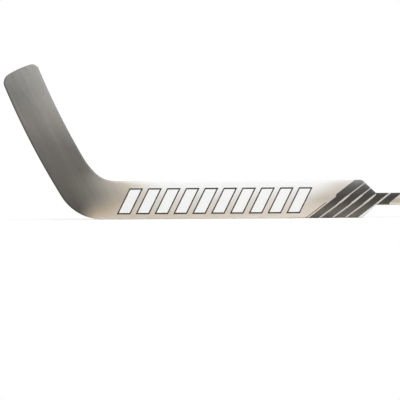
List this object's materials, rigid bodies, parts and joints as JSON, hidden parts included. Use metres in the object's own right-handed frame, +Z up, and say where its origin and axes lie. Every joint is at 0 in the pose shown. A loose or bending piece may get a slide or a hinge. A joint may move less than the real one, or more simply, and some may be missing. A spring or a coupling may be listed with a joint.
{
  "type": "goaltender ice hockey stick",
  "caption": "Goaltender's ice hockey stick: wide curved blade, wide flat paddle with sloping shoulders and a slim shaft, built as a glued foam-core lay-up of plies, strips and skins.",
  "frame": {"origin": "On the lower edge of the paddle, at the middle of its straight stretch and of the stick's thickness. The stick rests on this edge.", "axes": "+X along the shaft to the butt, +Z up from the lower edge towards the blade's toe, +Y to the forehand side, where the toe bows."},
  "size_m": [1.5604, 0.0384, 0.3568],
  "materials": {
    "aspen": "sanded aspen ply, pale and straight-grained",
    "birch": "sanded birch ply, painted where it shows on the bare shaft",
    "maple": "planed hard maple",
    "foam": "rigid closed-cell foam, cut surface",
    "blade_paint": "graphite grey paint under clear coat on glass fibre",
    "paddle_paint": "warm silver white paint under clear coat on glass fibre",
    "shaft_paint": "warm silver paint under clear coat on glass fibre"
  },
  "bodies": {
    "root": {"shaft_centre_ply": "aspen", "shaft_upper_ply": "birch", "shaft_lower_ply": "birch", "shaft_forehand_skin": "shaft_paint", "shaft_backhand_skin": "shaft_paint", "paddle_upper_core": "foam", "paddle_lower_core": "foam", "paddle_upper_edge": "paddle_paint", "paddle_lower_edge": "paddle_paint", "upper_shoulder_edge": "paddle_paint", "lower_shoulder_edge": "paddle_paint", "paddle_forehand_skin": "paddle_paint", "paddle_backhand_skin": "paddle_paint", "heel_block": "maple", "blade_core": "foam", "blade_bottom_edge": "blade_paint", "blade_top_edge": "blade_paint", "blade_toe_block": "blade_paint", "blade_forehand_skin": "blade_paint", "blade_backhand_skin": "blade_paint"}
  },
  "joints": []
}
